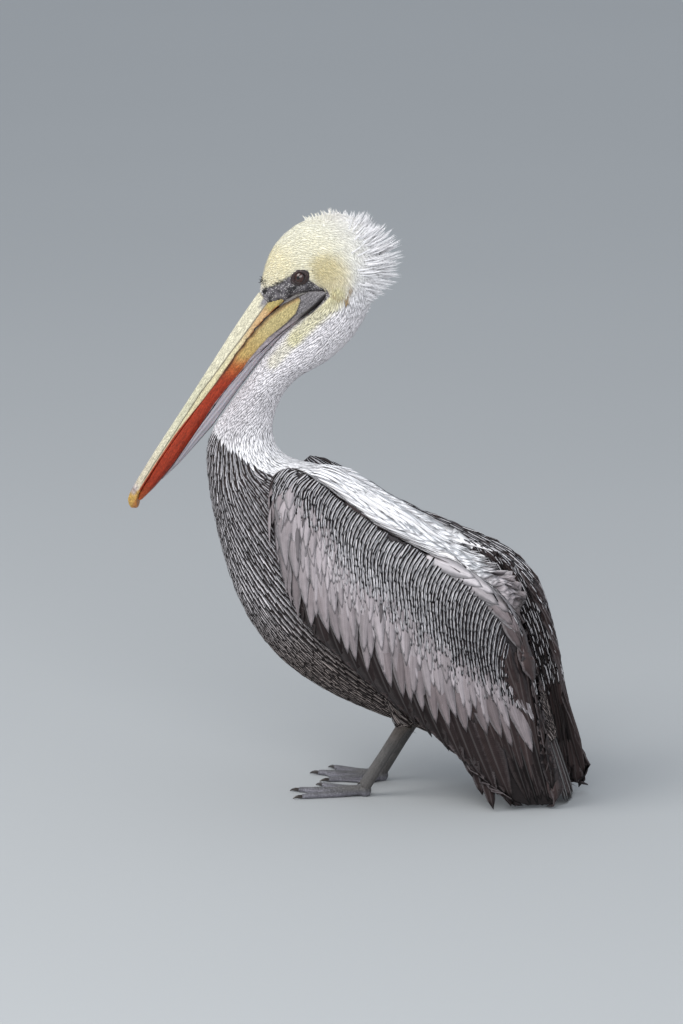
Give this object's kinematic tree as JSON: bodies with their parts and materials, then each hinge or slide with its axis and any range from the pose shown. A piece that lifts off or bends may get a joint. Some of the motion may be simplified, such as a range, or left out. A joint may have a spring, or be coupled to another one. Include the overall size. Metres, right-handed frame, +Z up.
{
  "type": "standing peruvian pelican",
  "caption": "Life-size Peruvian pelican standing at rest: S-curved neck, long bill resting near the breast, folded wings, short tail on the floor, webbed feet.",
  "frame": {"origin": "on the floor under the middle of the bird's box", "axes": "+Z up, the bird faces -Y, its left side is +X"},
  "size_m": [0.2476, 0.6782, 0.8555],
  "materials": {
    "white_feathers": "soft short plumage, yellow on the face and white on the neck",
    "dark_feathers": "brown-black plumage with fine pale streaks",
    "silver_feathers": "silver-grey pointed coverts",
    "bill": "horn, cream along the ridge and orange-red towards the tip",
    "pouch_skin": "thin lavender-grey skin",
    "leg_skin": "grey scaled skin",
    "claw": "black horn",
    "eye": "wet dark brown"
  },
  "bodies": {
    "root": {"bill_lower": "bill", "bill_nail": "bill", "bill_upper": "bill", "breast": "dark_feathers", "claw_left_1": "claw", "claw_left_2": "claw", "claw_left_3": "claw", "claw_left_4": "claw", "claw_right_1": "claw", "claw_right_2": "claw", "claw_right_3": "claw", "claw_right_4": "claw", "crest": "white_feathers", "eye_left": "eye", "eye_right": "eye", "foot_left": "leg_skin", "foot_right": "leg_skin", "head": "white_feathers", "leg_left_tarsus": "leg_skin", "leg_left_thigh": "dark_feathers", "leg_right_tarsus": "leg_skin", "leg_right_thigh": "dark_feathers", "neck_lower": "white_feathers", "neck_middle": "white_feathers", "neck_upper": "white_feathers", "pouch": "pouch_skin", "rump": "dark_feathers", "tail": "dark_feathers", "tail_coverts": "dark_feathers", "trunk": "dark_feathers", "wing_left_greater_coverts": "silver_feathers", "wing_left_lesser_coverts": "dark_feathers", "wing_left_primaries": "dark_feathers", "wing_left_secondaries": "dark_feathers", "wing_right_greater_coverts": "silver_feathers", "wing_right_lesser_coverts": "dark_feathers", "wing_right_primaries": "dark_feathers", "wing_right_secondaries": "dark_feathers"}
  },
  "joints": []
}
